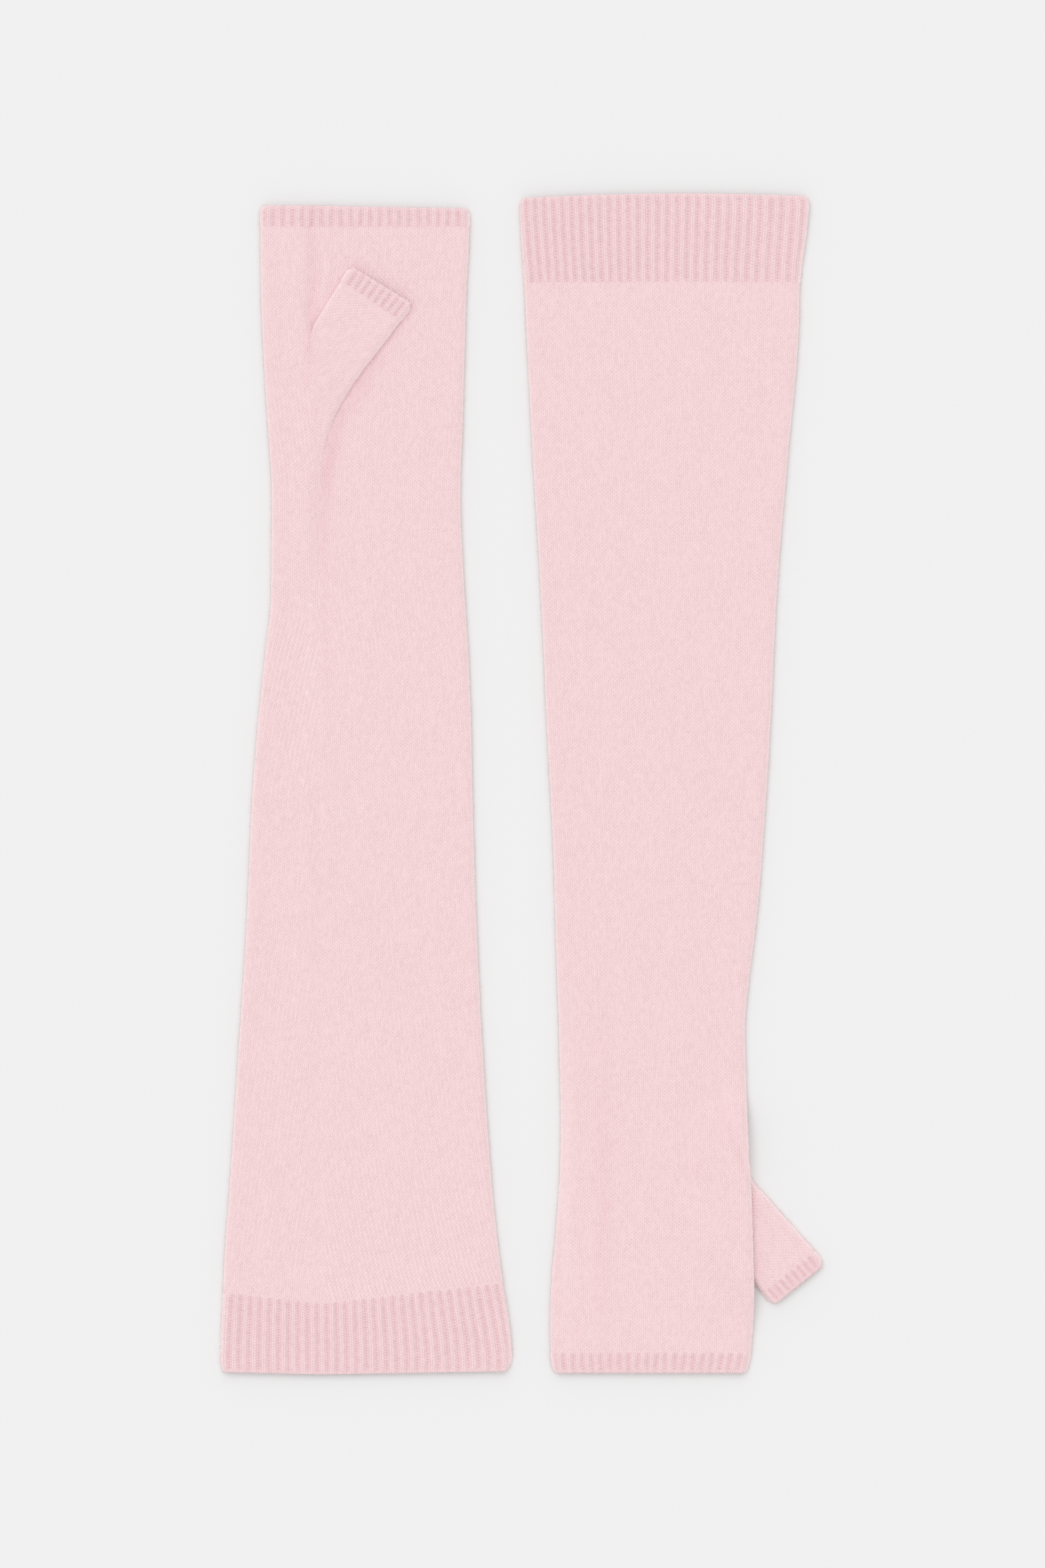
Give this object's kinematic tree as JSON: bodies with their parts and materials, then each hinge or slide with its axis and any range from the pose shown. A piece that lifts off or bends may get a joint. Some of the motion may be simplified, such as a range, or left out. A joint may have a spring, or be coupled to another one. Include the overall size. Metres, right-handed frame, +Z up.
{
  "type": "pair of long fingerless knit gloves",
  "caption": "Pair of long fingerless knit gloves laid flat, with ribbed arm, hand and thumb openings.",
  "frame": {"origin": "centre of the pair's footprint, on the surface that both gloves lie on", "axes": "+Z up from the surface, +Y along the gloves from the left glove's arm end to its hand end, +X from the left glove to the right glove"},
  "size_m": [0.252, 0.4922, 0.0076],
  "materials": {
    "jersey_knit": "matte, softly brushed plain knit wool",
    "rib_knit": "matte 1x1 rib knit wool"
  },
  "bodies": {
    "root": {"left_arm_tube": "jersey_knit", "left_arm_rib": "rib_knit", "left_hand_rib": "rib_knit", "left_thumb_tube": "jersey_knit", "left_thumb_rib": "rib_knit", "right_arm_tube": "jersey_knit", "right_arm_rib": "rib_knit", "right_hand_rib": "rib_knit", "right_thumb_tube": "jersey_knit", "right_thumb_rib": "rib_knit"}
  },
  "joints": []
}
